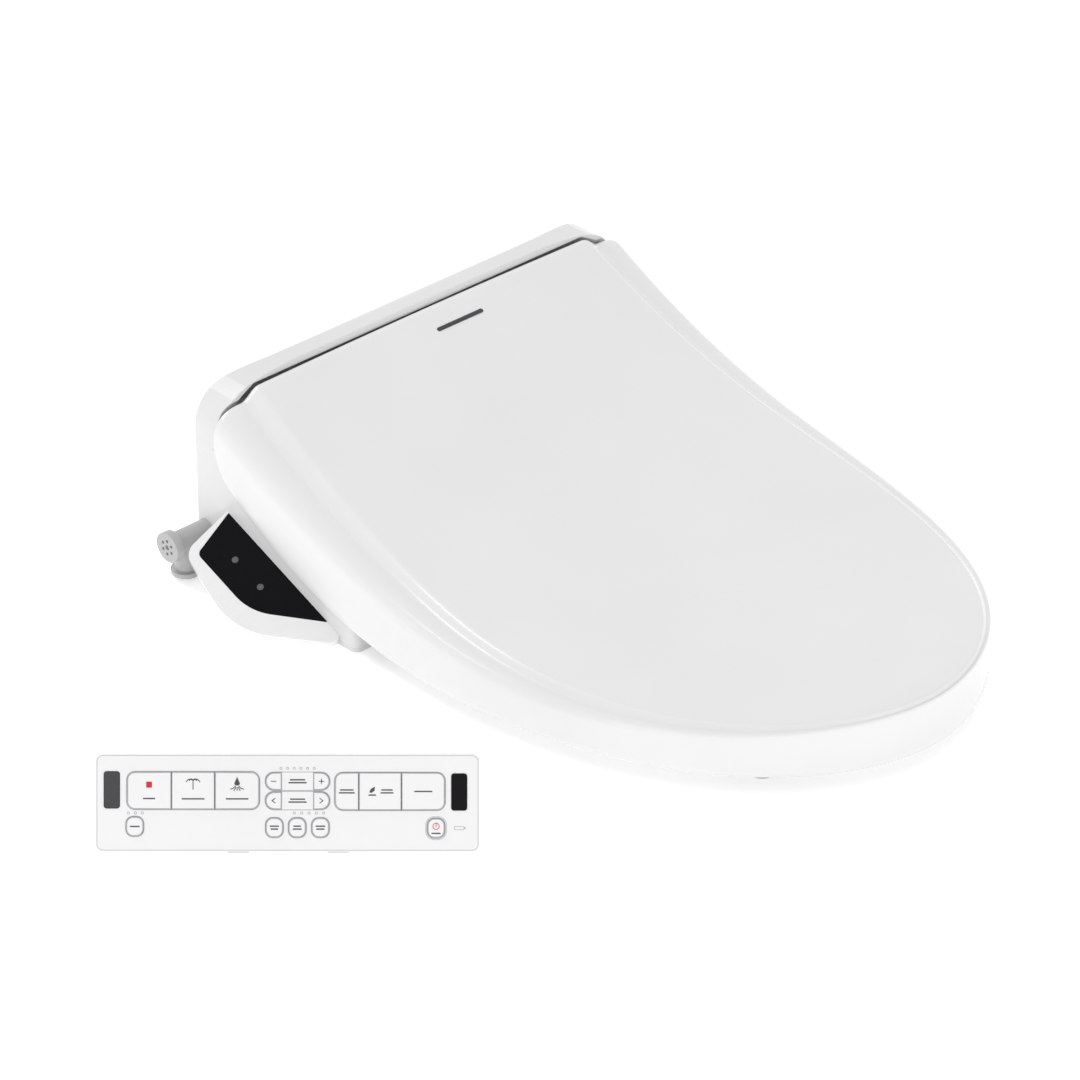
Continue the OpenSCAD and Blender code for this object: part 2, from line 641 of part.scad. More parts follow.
module dryer_duct() color("gray") difference() {
    translate([61.5, front_y + wall + 0.5, 11.5]) cube([27, 51.5, 27]);
    translate([63.5, front_y, 13.5]) cube([23, 50, 12]);
    translate([63.5, -40, 13.5]) cube([23, 40, 23]);
}
flap_hinge_z = 25.2;
module dryer_flap() color("white") {
    translate([flap_x[0] + 0.6, front_y + 0.2, flap_z[0] + 0.6])
        cube([flap_x[1] - flap_x[0] - 1.2, 1.6, 12.4]);
    x_cylinder(flap_x[0] + 0.6, flap_x[1] - 0.6, 1.4, front_y + 1.4, flap_hinge_z);
}

// ---------- electrics ----------

board_z = 80;
module control_board() color("darkgreen") {
    translate([-40, 40, board_z]) cube([90, 40, 1.6]);
    for (p = [[-30, 50, 12], [-8, 46, 9], [12, 54, 14], [34, 48, 10]])
        translate([p[0], p[1], board_z + 1.5]) cube([p[2], p[2], 9]);
}
module power_supply() color("dimgray") {
    rounded_box(128, 176, -10, 44, 6, 34, 3);
    translate([140, 5, 33.9]) cylinder(h = 5, r = 8);
}
module cord_gland() color("dimgray") difference() {
    union() {
        x_cylinder(half_w - wall - 4, half_w + 14, 5.8, gland_y, gland_z);
        x_cylinder(half_w + 0.05, half_w + 3, 9, gland_y, gland_z);
    }
    x_cylinder(half_w, half_w + 20, 3.2, gland_y, gland_z);
    x_cylinder(half_w - 20, half_w + 0.4, 4.4, gland_y, gland_z);
}
module night_light() color("lightyellow") along_y(front_y - 0.6, front_y + 8)
    translate([lens_x, 34]) circle(4.9);
module release_button() color("lightgray") {
    x_cylinder(half_w - 8, half_w + 1.5, button_r, button_y, button_z);
    x_cylinder(half_w - 10, half_w - 7.9, 10, button_y, button_z);
}

// ---------- the remote control and its cradle ----------

remote_place = [-400, -253, 13.2];
module on_remote() translate(remote_place)
    rotate([0, 0, remote_turn]) rotate([90 - remote_lean, 0, 0]) children();

key_gap = 0.25;
key_top = 0.7;
shell_split = -9;
face_t = 2;
// A key's share of its group's rounded outline, grown outward, with a gap to its neighbours.
module key_plan(k, grow, gap) intersection() {
    rounded_rect(k[6][0] - grow, k[6][1] + grow, k[3] - grow, k[4] + grow, k[5]);
    translate([k[1] + gap, k[3] - grow]) square([k[2] - k[1] - 2 * gap, k[4] - k[3] + 2 * grow]);
}
module key(k) color("white") on_remote() {
    translate([0, 0, -3]) linear_extrude(3 + key_top) key_plan(k, -key_gap, key_gap);
    translate([0, 0, -3.6]) linear_extrude(0.9) key_plan(k, 0.3, key_gap);
}

ir_spots = [[-120.6, -110, 28.3, 52.7], [107.4, 117.9, 27, 51.4]];
module ir_windows() color("black") on_remote() for (w = ir_spots)
    rounded_box(w[0], w[1], w[2], w[3], -2.2, 0.3, 2);

module remote_front() color("white") on_remote() difference() {
    rounded_box(-remote_w / 2, remote_w / 2, 0, remote_h, shell_split, 0, 5);
    rounded_box(-remote_w / 2 + 2, remote_w / 2 - 2, 2, remote_h - 2, shell_split - 1, -face_t, 3);
    for (k = KEYS) translate([0, 0, -5]) linear_extrude(6) key_plan(k, 0, 0);
    for (w = ir_spots) rounded_box(w[0] - eps, w[1] + eps, w[2] - eps, w[3] + eps, -5, 1, 2);
}

cell_bay = [64, 118, 20, 48];
module remote_back() color("white") on_remote() difference() {
    rounded_box(-remote_w / 2, remote_w / 2, 0, remote_h, -remote_t, shell_split - eps, 5);
    rounded_box(-remote_w / 2 + 2, remote_w / 2 - 2, 2, remote_h - 2, -remote_t + 4, 0, 3);
    // battery bay, and the grooves in which its cover slides out to the end
    translate([cell_bay[0], cell_bay[2], -remote_t - 1]) cube([cell_bay[1] - cell_bay[0], 28, 6]);
    translate([cell_bay[0], cell_bay[2] - 1.5, -remote_t + 1])
        cube([remote_w / 2 - cell_bay[0] + 1, 31, 1.6]);
    translate([cell_bay[0], cell_bay[2], -remote_t - 1]) cube([remote_w / 2 - cell_bay[0] + 1, 28, 2]);
}
module battery_cover() color("gainsboro") on_remote() {
    translate([cell_bay[0] + 0.3, cell_bay[2] + 0.25, -remote_t])
        cube([remote_w / 2 - cell_bay[0] - 0.3, 27.5, 1.2]);
    translate([cell_bay[0] + 0.3, cell_bay[2] - 1.2, -remote_t + 1.15])
        cube([remote_w / 2 - cell_bay[0] - 0.3, 30.4, 1.2]);
}

module batteries() color("steelblue") on_remote() for (y = [28, 39.6]) translate([66, y, -9.8])
    rotate([0, 90, 0]) {
        cylinder(h = 43.5, r = 5.2);
        cylinder(h = 44.5, r = 1.9);
    }

module remote_cradle() color("gainsboro") on_remote() {
    rounded_box(-55, 55, 8, 45, -remote_t - 3, -remote_t - 0.3, 4);
    for (x = [-40, 26]) {
        translate([x, -1.5, -remote_t - 3]) cube([14, 11, 2.7]);
        translate([x, -1.5, -remote_t - 3]) cube([14, 1.3, 11]);
        cradle_leg(x);
    }
}
// A leg runs from the top of the cradle's back down to the floor.
module cradle_leg(x) {
    floor_drop = remote_place[2];
    s = sin(remote_lean);
    c = cos(remote_lean);
    foot = [for (back = [62, 70]) [back * s - floor_drop * c, -back * c - floor_drop * s]];
    translate([x, 0, 0]) rotate([90, 0, 90]) linear_extrude(4)
        polygon([[30, -remote_t - 2.9], [44, -remote_t - 2.9], foot[1], foot[0]]);
}

// ---------- everything ----------
mounting_plate();
bolt_plates();
remote_cradle();
base_tray();
rear_cover();
side_bezel();
panel_window();
status_lamps();
hinge_pins();
hinge_dampers();
inlet_tee();
solenoid_valve();
water_heater();
water_pump();
nozzle_guide();
nozzle_motors();
dryer_housing();
dryer_duct();
control_board();
power_supply();
cord_gland();
night_light();
housing_screws();
strainer_plug();
nozzle_rear();
nozzle_rear_tip();
nozzle_front();
nozzle_front_tip();
dryer_impeller();
dryer_flap();
release_button();
seat_top();
seat_bottom();
seat_heater();
seat_bumpers();
seat_arms();
lid_shell();
lid_arms();
lid_bumpers();
lid_badge();
remote_front();
remote_back();
battery_cover();
ir_windows();
batteries();
for (k = KEYS) key(k);
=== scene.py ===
"""The looks of an electric bidet seat and its remote control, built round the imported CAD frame."""
import json
import math

import bmesh
import bpy
import numpy as np
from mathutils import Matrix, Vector


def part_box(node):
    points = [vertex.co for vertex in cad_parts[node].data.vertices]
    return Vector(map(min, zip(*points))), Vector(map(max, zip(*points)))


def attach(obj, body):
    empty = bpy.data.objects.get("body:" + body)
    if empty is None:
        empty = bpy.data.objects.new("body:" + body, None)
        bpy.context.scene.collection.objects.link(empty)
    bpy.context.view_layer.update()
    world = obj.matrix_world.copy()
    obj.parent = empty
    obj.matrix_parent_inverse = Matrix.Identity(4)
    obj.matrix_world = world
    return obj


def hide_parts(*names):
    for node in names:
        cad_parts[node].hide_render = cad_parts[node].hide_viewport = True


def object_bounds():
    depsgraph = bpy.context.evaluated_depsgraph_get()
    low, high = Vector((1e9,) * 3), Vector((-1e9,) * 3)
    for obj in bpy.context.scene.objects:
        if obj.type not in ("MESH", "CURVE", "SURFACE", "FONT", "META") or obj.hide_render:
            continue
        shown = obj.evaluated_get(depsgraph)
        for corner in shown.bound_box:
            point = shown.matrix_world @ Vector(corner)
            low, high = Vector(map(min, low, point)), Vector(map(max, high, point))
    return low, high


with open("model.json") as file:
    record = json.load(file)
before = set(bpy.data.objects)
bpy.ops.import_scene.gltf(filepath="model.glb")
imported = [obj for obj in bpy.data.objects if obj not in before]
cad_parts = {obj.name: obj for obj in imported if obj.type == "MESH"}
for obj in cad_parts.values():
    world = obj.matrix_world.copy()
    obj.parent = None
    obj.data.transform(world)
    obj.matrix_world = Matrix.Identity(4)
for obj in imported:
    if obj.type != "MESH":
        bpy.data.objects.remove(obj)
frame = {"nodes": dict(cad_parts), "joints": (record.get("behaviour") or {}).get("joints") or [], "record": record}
cad_low, cad_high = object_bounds()
MM = 0.001

# ---------------------------------------------------------------- materials


def new_material(name):
    """A material with its nodes emptied down to the shader and the output."""
    mat = bpy.data.materials.new(name)
    mat.use_nodes = True
    tree = mat.node_tree
    tree.nodes.clear()
    out = tree.nodes.new("ShaderNodeOutputMaterial")
    shader = tree.nodes.new("ShaderNodeBsdfPrincipled")
    tree.links.new(shader.outputs["BSDF"], out.inputs["Surface"])
    return mat, tree, shader


def place_node(tree, stretch=(1, 1, 1)):
    """Object coordinates in metres, stretched along each axis."""
    coords = tree.nodes.new("ShaderNodeTexCoord")
    mapping = tree.nodes.new("ShaderNodeMapping")
    mapping.inputs["Scale"].default_value = stretch
    tree.links.new(coords.outputs["Object"], mapping.inputs["Vector"])
    return mapping.outputs["Vector"]


def noise_node(tree, where, scale, detail=3.0, rough=0.55):
    tex = tree.nodes.new("ShaderNodeTexNoise")
    tex.inputs["Scale"].default_value = scale
    tex.inputs["Detail"].default_value = detail
    tex.inputs["Roughness"].default_value = rough
    tree.links.new(where, tex.inputs["Vector"])
    return tex.outputs["Fac"]


def ramp_value(tree, value, low, high, from_low=0.3, from_high=0.7):
    """Maps a noise value to a range."""
    node = tree.nodes.new("ShaderNodeMapRange")
    node.inputs["From Min"].default_value = from_low
    node.inputs["From Max"].default_value = from_high
    node.inputs["To Min"].default_value = low
    node.inputs["To Max"].default_value = high
    tree.links.new(value, node.inputs["Value"])
    return node.outputs["Result"]


def ramp_color(tree, value, low, high):
    """Blends two colours by a noise value."""
    node = tree.nodes.new("ShaderNodeMix")
    node.data_type = "RGBA"
    node.inputs[6].default_value = (*low, 1)
    node.inputs[7].default_value = (*high, 1)
    tree.links.new(ramp_value(tree, value, 0, 1), node.inputs[0])
    return node.outputs[2]


def add_bump(tree, shader, heights):
    """Chains bumps, each (height socket, depth in metres, strength)."""
    normal = None
    for height, depth, strength in heights:
        bump = tree.nodes.new("ShaderNodeBump")
        bump.inputs["Distance"].default_value = depth
        bump.inputs["Strength"].default_value = strength
        tree.links.new(height, bump.inputs["Height"])
        if normal is not None:
            tree.links.new(normal, bump.inputs["Normal"])
        normal = bump.outputs["Normal"]
    tree.links.new(normal, shader.inputs["Normal"])


def moulded(name, color, rough, grain=(900, 0.00002), coat=0.0, spread=0.012, wave=0.0, specular=0.5):
    """Moulded plastic: faint shade drift, wiped-clean roughness, surface grain and the mould's slow waves."""
    mat, tree, shader = new_material(name)
    where = place_node(tree)
    drift = noise_node(tree, where, 7, 2)
    low = tuple(max(c - spread, 0) for c in color)
    high = tuple(min(c + spread, 1) for c in color)
    tree.links.new(ramp_color(tree, drift, low, high), shader.inputs["Base Color"])
    wiped = noise_node(tree, place_node(tree, (1, 0.35, 1)), 26, 5, 0.6)
    tree.links.new(ramp_value(tree, wiped, rough * 0.82, rough * 1.2), shader.inputs["Roughness"])
    shader.inputs["Coat Weight"].default_value = coat
    shader.inputs["Coat Roughness"].default_value = 0.06
    shader.inputs["Specular IOR Level"].default_value = specular
    heights = [(noise_node(tree, where, grain[0], 2), grain[1], 0.5)]
    if wave:
        heights.append((noise_node(tree, where, 14, 1), wave, 0.5))
    add_bump(tree, shader, heights)
    return mat


def metal(name, color, rough, brushed=(1, 60, 60)):
    """Turned or brushed metal, its lines along one axis."""
    mat, tree, shader = new_material(name)
    lines = noise_node(tree, place_node(tree, brushed), 40, 4)
    shade = ramp_color(tree, lines, tuple(c * 0.85 for c in color), color)
    tree.links.new(shade, shader.inputs["Base Color"])
    shader.inputs["Metallic"].default_value = 1.0
    tree.links.new(ramp_value(tree, lines, rough * 0.7, rough * 1.3), shader.inputs["Roughness"])
    add_bump(tree, shader, [(lines, 0.00003, 0.4)])
    return mat


def glow(name, color, strength, rough=0.3):
    """A frosted lens with a faint light behind it."""
    mat, tree, shader = new_material(name)
    where = place_node(tree)
    frost = noise_node(tree, where, 1800, 2)
    tree.links.new(ramp_color(tree, frost, tuple(c * 0.8 for c in color), color), shader.inputs["Base Color"])
    tree.links.new(ramp_value(tree, frost, rough * 0.8, rough * 1.3), shader.inputs["Roughness"])
    shader.inputs["Emission Color"].default_value = (*color, 1)
    shader.inputs["Emission Strength"].default_value = strength
    add_bump(tree, shader, [(frost, 0.00002, 0.4)])
    return mat


WHITE = (0.775, 0.775, 0.775)
MATERIALS = {
    "white_gloss": moulded("white_gloss", WHITE, 0.16, coat=0.35, wave=0.00025),
    "white_casing": moulded("white_casing", (0.70, 0.70, 0.705), 0.22, coat=0.25, wave=0.0002),
    "white_satin": moulded("white_satin", (0.68, 0.68, 0.68), 0.42, grain=(1500, 0.00005)),
    "key_white": moulded("key_white", (0.86, 0.86, 0.86), 0.34, grain=(2200, 0.00003)),
    "black_gloss": moulded("black_gloss", (0.004, 0.004, 0.005), 0.14, spread=0.001, specular=0.1),
    "lamp_lens": glow("lamp_lens", (0.085, 0.09, 0.098), 0.1),
    "grey_plastic": moulded("grey_plastic", (0.42, 0.43, 0.45), 0.45, grain=(1400, 0.00006)),
    "dark_plastic": moulded("dark_plastic", (0.045, 0.045, 0.05), 0.42, grain=(1400, 0.00006), spread=0.006),
    "rubber": moulded("rubber", (0.55, 0.55, 0.54), 0.75, grain=(1200, 0.0001)),
    "steel": metal("steel", (0.62, 0.62, 0.64), 0.28),
    "board": moulded("board", (0.012, 0.12, 0.05), 0.35, grain=(600, 0.00008), spread=0.01),
    "heater_film": moulded("heater_film", (0.62, 0.30, 0.06), 0.3, grain=(800, 0.00004), spread=0.03),
    "tank": moulded("tank", (0.66, 0.63, 0.55), 0.4, grain=(900, 0.00005), spread=0.02),
    "battery_sleeve": moulded("battery_sleeve", (0.05, 0.12, 0.36), 0.25, coat=0.3, spread=0.01),
    "ir_dark": moulded("ir_dark", (0.006, 0.005, 0.006), 0.12, spread=0.001, specular=0.12),
}
FITTING = moulded("water_fitting", (0.42, 0.42, 0.42), 0.36, grain=(1500, 0.00005))
# The side bezel's white is made lighter than the casing's to make up for the shade its down-facing flange gets:
# painted light.
BEZEL_BRIGHTENED_WHITE = moulded("bezel_white_painted_light", (0.80, 0.80, 0.80), 0.2, coat=0.25, wave=0.0001)
PALE_INK = moulded("pale_ink", (0.5, 0.5, 0.51), 0.5, spread=0.02)
INK = moulded("printed_ink", (0.07, 0.07, 0.075), 0.5, spread=0.01)
RED_INK = moulded("red_ink", (0.62, 0.03, 0.035), 0.45, spread=0.03)

# ---------------------------------------------------------------- helpers


def make_object(name, verts, faces, slot, body, replaces=(), smooth_angle=40):
    """A mesh piece with a material, on a body, in place of CAD nodes."""
    mesh = bpy.data.meshes.new(name)
    mesh.from_pydata([tuple(v) for v in verts], [], faces)
    mesh.validate()
    return finish_piece(name, mesh, slot, body, replaces, smooth_angle)


def finish_piece(name, mesh, slot, body, replaces, smooth_angle):
    work = bmesh.new()
    work.from_mesh(mesh)
    bmesh.ops.recalc_face_normals(work, faces=work.faces)
    work.to_mesh(mesh)
    work.free()
    mesh.shade_smooth()
    mesh.set_sharp_from_angle(angle=math.radians(smooth_angle))
    obj = bpy.data.objects.new(name, mesh)
    bpy.context.collection.objects.link(obj)
    obj.data.materials.append(MATERIALS[slot] if isinstance(slot, str) else slot)
    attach(obj, body)
    if replaces:
        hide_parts(*replaces)
    return obj


def round_edges(obj, width, angle):
    """Softly rounded edges, width in metres, wherever faces meet at more than an angle in degrees."""
    mod = obj.modifiers.new("bevel", "BEVEL")
    mod.width = width
    mod.segments = 3
    mod.limit_method = "ANGLE"
    mod.angle_limit = math.radians(angle)
    mod.harden_normals = True


# The material slot of each CAD node, as the record says, and the nodes that look different; the side bezel's
# lighter white is painted light against the shade on its down-facing flange.
SLOT_OF = {s["node"]: s["material_slot"] for s in frame["record"]["subparts"]}
NODE_LOOKS = {"inlet_tee": FITTING, "strainer_plug": FITTING, "side_bezel": BEZEL_BRIGHTENED_WHITE}


def dress_node(node, bevel):
    """A CAD node keeps its shape, and gets its material and softly rounded edges."""
    obj = frame["nodes"][node]
    obj.data.materials.clear()
    obj.data.materials.append(NODE_LOOKS.get(node) or MATERIALS[SLOT_OF[node]])
    merge = obj.modifiers.new("weld", "WELD")
    merge.merge_threshold = 0.00001
    if bevel:
        round_edges(obj, bevel, 32)


# ---------------------------------------------------------------- the lid

lid_low, lid_high = (Vector(v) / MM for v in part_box("lid_shell"))
LID_HALF_W = lid_high.x
LID_REACH = -lid_low.y
LID_REAR = lid_high.y
LID_CROWN = 1.5
LID_REAR_Z = lid_high.z
LID_TIP_Z = 54.5
LID_DIP = 30.0
LID_T = 2.5
SKIRT_Z = lid_low.z
BEND_Y = -140.0
TIP_POWER = 2.3
SIDE_POWER = 1.88
RISE_POWER = 2.8
# The skirt's edge climbs from the first y, and once more, steeply, from the second.
SKIRT_CLIMB_Y = -160.0
SKIRT_CLIMB = 75.0
SKIRT_END_Y = 40.0
SKIRT_END_CLIMB = 14.0
# How far the top face is set in from the outline, at the tip and how much more at the rear.
INSET_TIP = 3.5
INSET_GAIN = 38.5
SHOULDER_SHAPE = 0.83
REAR_ROUND = 3.0
LID_ROWS = (90, 150)
LID_ACROSS = 60


def lid_u(y):
    return (y + LID_REACH) / (LID_REAR + LID_REACH)


def lid_z(y):
    """Height of the lid's top face along its middle."""
    u = lid_u(y)
    return LID_TIP_Z - LID_DIP * u + (LID_REAR_Z - LID_TIP_Z + LID_DIP) * np.maximum(u, 0) ** RISE_POWER


def skirt_curve(y):
    """Height of the skirt's lower edge: level in front, climbing over the housing's sides."""
    lift = np.maximum(y - SKIRT_CLIMB_Y, 0) / (LID_REAR - SKIRT_CLIMB_Y)
    return SKIRT_Z + SKIRT_CLIMB * lift ** 2.16


def skirt_low(y):
    return skirt_curve(y) + SKIRT_END_CLIMB * (np.maximum(y - SKIRT_END_Y, 0) / 17) ** 3


def lid_outline(straight, curved):
    """Rows (x, y, nx, ny) of the lid's outline on its +X side, from the rear edge to the tip."""
    rows = [(LID_HALF_W, y, 1.0, 0.0) for y in np.linspace(LID_REAR, BEND_Y, straight, endpoint=False)]
    for a in np.linspace(0, math.pi / 2, curved):
        t = math.sin(a) ** (2 / TIP_POWER)
        x = LID_HALF_W * max(math.cos(a), 0) ** (2 / SIDE_POWER)
        gx = SIDE_POWER * (x / LID_HALF_W) ** (SIDE_POWER - 1) / LID_HALF_W
        gy = -TIP_POWER * t ** (TIP_POWER - 1) / (LID_REACH + BEND_Y)
        g = math.hypot(gx, gy)
        rows.append((x, BEND_Y - (LID_REACH + BEND_Y) * t, gx / g, gy / g))
    return rows


def half_section(y, drop):
    """Cross-section (inset, height) from the skirt's edge up to the edge of the top face."""
    u = lid_u(y)
    inset = INSET_TIP + INSET_GAIN * u
    band = min(0.6 * inset, 4 + 13 * u)
    band_h = 3 + 6 * u
    step = inset - band
    fall = 0.8 * step + 2
    top = float(lid_z(y)) - drop
    low = float(skirt_low(y))
    side_top = top - band_h - fall
    pts = [(0.9, low), (0.25, low + 0.3), (0.0, low + 1.0)]
    pts += [(0.0, low + 1.0 + (side_top - low - 1.0) * k / 6) for k in range(1, 6)]
    for k in range(0, 15):
        a = math.pi / 2 * k / 14
        pts.append((step * (1 - max(math.cos(a), 0) ** SHOULDER_SHAPE),
                    side_top + fall * math.sin(a) ** SHOULDER_SHAPE))
    for k in range(1, 13):
        s = k / 12
        pts.append((step + band * s, top - band_h * (1 - s * s * (3 - 2 * s))))
    return pts


def lid_surface(inward):
    """A grid of points over the lid, from the -X skirt to the +X skirt in each row, moved inward in mm."""
    grid = []
    for x, y, nx, ny in lid_outline(*LID_ROWS):
        half = half_section(y, inward)
        reach = LID_REAR - y
        rounding = 0.0
        if reach < REAR_ROUND:
            rounding = REAR_ROUND - math.sqrt(max(REAR_ROUND ** 2 - (REAR_ROUND - reach) ** 2, 0))
        low = float(skirt_low(y))
        right = []
        for inset, z in half:
            d = inset + inward
            lowered = rounding * max(z - low, 0) / 60
            right.append((max(x - nx * d, 0), y - ny * d, z - min(lowered, rounding)))
        ex, ey, ez = right[-1]
        lift = LID_CROWN * min(ex / 60, 1)
        middle = []
        for k in range(1, LID_ACROSS):
            s = 2 * k / LID_ACROSS - 1
            middle.append((s * ex, ey, ez + lift * (1 - s * s)))
        grid.append([(-px, py, pz) for px, py, pz in right] + middle + right[::-1])
    return np.array(grid)


def sheet_mesh(outer, inner):
    """Closes two grids into a thin shell that is open below."""
    rows, cols = outer.shape[:2]
    verts = np.concatenate([outer.reshape(-1, 3), inner.reshape(-1, 3)]) * MM
    n = rows * cols
    faces = []
    for i in range(rows - 1):
        for j in range(cols - 1):
            a, b = i * cols + j, (i + 1) * cols + j
            faces.append((a, a + 1, b + 1, b))
            faces.append((n + a, n + b, n + b + 1, n + a + 1))
    for j in range(cols - 1):
        faces.append((j, n + j, n + j + 1, j + 1))
    for i in range(rows - 1):
        a, b = i * cols, (i + 1) * cols
        faces.append((a, b, n + b, n + a))
        a, b = a + cols - 1, b + cols - 1
        faces.append((a, n + a, n + b, b))
    return verts, faces


def weld(mesh, distance=1e-5):
    """Merges points that fall together, distance in metres."""
    work = bmesh.new()
    work.from_mesh(mesh)
    bmesh.ops.remove_doubles(work, verts=work.verts, dist=distance)
    bmesh.ops.dissolve_degenerate(work, edges=work.edges, dist=distance / 10)
    work.to_mesh(mesh)
    work.free()


def build_lid():
    verts, faces = sheet_mesh(lid_surface(0), lid_surface(LID_T))
    mesh = bpy.data.meshes.new("lid")
    mesh.from_pydata([tuple(v) for v in verts], [], faces)
    weld(mesh)
    finish_piece("lid", mesh, "white_gloss", "lid", ("lid_shell",), 50)


# ---------------------------------------------------------------- the seat

seat_low, seat_high = (Vector(v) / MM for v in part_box("seat_top"))
HOLE_MID_Y = -215.0
HOLE_HALF_W = 104.0
HOLE_FRONT = 165.0
HOLE_REAR = 93.0
SEAT_WALL = 2.5
SEAT_STEPS = 180


def signed_power(value, power):
    return math.copysign(abs(value) ** power, value)


def seat_outer(angle):
    """A point on the seat's outer edge: the lid's curve in front, squarer corners at the rear."""
    c, s = math.cos(angle), math.sin(angle)
    if s >= 0:
        return np.array([seat_high.x * signed_power(c, 2 / SIDE_POWER),
                         BEND_Y + (seat_low.y - BEND_Y) * s ** (2 / TIP_POWER)])
    return np.array([seat_high.x * signed_power(c, 0.5), BEND_Y + (seat_high.y - BEND_Y) * (-s) ** 0.5])


def seat_hole(angle):
    """A point on the edge of the hole: an ellipse in front, a little squarer at the rear."""
    c, s = math.cos(angle), math.sin(angle)
    if s >= 0:
        return np.array([HOLE_HALF_W * c, HOLE_MID_Y - HOLE_FRONT * s ** 0.95])
    return np.array([HOLE_HALF_W * signed_power(c, 0.8), HOLE_MID_Y + HOLE_REAR * (-s) ** 0.8])


def ring_section(width):
    """Closed section of the seat: share of the way from the outer edge to the hole, and height in mm."""
    t = SEAT_WALL / width
    low = seat_low.z - seat_high.z
    outside = [(0, low), (0, -19), (0, -14), (0.012, -10.5), (0.04, -7.2), (0.12, -3.2), (0.28, -0.6),
               (0.5, 0), (0.75, -1.6), (0.9, -4.8), (0.97, -8.5), (1, -13), (1, -19), (1, low)]
    inside = [(1 - t, low), (1 - t, -14), (0.9 - t / 2, -9), (0.73, -5), (0.5, -3),
              (0.3, -3.8), (0.12 + t, -7.5), (0.04 + t, -13), (t, low)]
    return outside + inside


def build_seat():
    verts = []
    for i in range(SEAT_STEPS):
        angle = 2 * math.pi * i / SEAT_STEPS
        outer, hole = seat_outer(angle), seat_hole(angle)
        for share, depth in ring_section(float(np.linalg.norm(outer - hole))):
            x, y = outer + (hole - outer) * share
            verts.append((x * MM, y * MM, (seat_high.z + depth) * MM))
    n = len(verts) // SEAT_STEPS
    faces = []
    for i in range(SEAT_STEPS):
        k = (i + 1) % SEAT_STEPS
        faces += [(i * n + j, i * n + (j + 1) % n, k * n + (j + 1) % n, k * n + j) for j in range(n)]
    seat = make_object("seat_ring", verts, faces, "white_gloss", "seat", ("seat_top",), 45)
    round_edges(seat, 0.0006, 40)


# ---------------------------------------------------------------- prints on the remote control

joint_axis = {j["name"]: Vector(j["axis"]).normalized() for j in frame["joints"]}
FACE_UP = joint_axis["remote_lift"]
FACE_OUT = -joint_axis["key_stop_press"]
FACE_RIGHT = FACE_UP.cross(FACE_OUT)


def on_face(node):
    """Corners of a CAD node's mesh as rows (right, up, out) along the remote's face, in mm."""
    obj = frame["nodes"][node]
    axes = np.array([FACE_RIGHT, FACE_UP, FACE_OUT])
    points = np.array([obj.matrix_world @ v.co for v in obj.data.vertices])
    return points @ axes.T / MM


front_points = on_face("remote_front")
FACE_MID = (front_points[:, 0].min() + front_points[:, 0].max()) / 2
FACE_LOW = front_points[:, 1].min()
FACE_TOP = front_points[:, 2].max()
# All in mm: ink above and below the face, the corner radii of one key and of a group of keys,
# and the pitch and height of the bars that stand for words.
PRINT_T = 0.07
KEY_ROUND = 4.5
GROUP_ROUND = 5.2
LINE_PITCH = 1.9
BAR_H = 0.9


def face_point(x, y, z):
    """A point on the remote, x from its middle, y from its lower edge, z out of its face, all in mm."""
    return (FACE_RIGHT * (x + FACE_MID) + FACE_UP * (y + FACE_LOW) + FACE_OUT * (z + FACE_TOP)) * MM


def outline_of(node):
    """Convex outline of a node's front face, counter-clockwise, and its height above the remote's face."""
    points = on_face(node)
    top = points[:, 2].max()
    flat = sorted({(round(x - FACE_MID, 3), round(y - FACE_LOW, 3)) for x, y, z in points if z > top - 0.02})

    def half(run):
        chain = []
        for p in run:
            while len(chain) > 1:
                (ax, ay), (bx, by) = chain[-2], chain[-1]
                if (bx - ax) * (p[1] - ay) - (by - ay) * (p[0] - ax) > 1e-6:
                    break
                chain.pop()
            chain.append(p)
        return chain[:-1]

    return half(flat) + half(flat[::-1]), float(top - FACE_TOP)


def moved_outline(loop, out):
    """The outline, moved outward by a distance."""
    pts = np.array(loop, float)
    before = pts - np.roll(pts, 1, axis=0)
    after = np.roll(pts, -1, axis=0) - pts
    lean = before / np.linalg.norm(before, axis=1)[:, None] + after / np.linalg.norm(after, axis=1)[:, None]
    lean /= np.linalg.norm(lean, axis=1)[:, None]
    return pts + np.stack([lean[:, 1], -lean[:, 0]], axis=1) * out


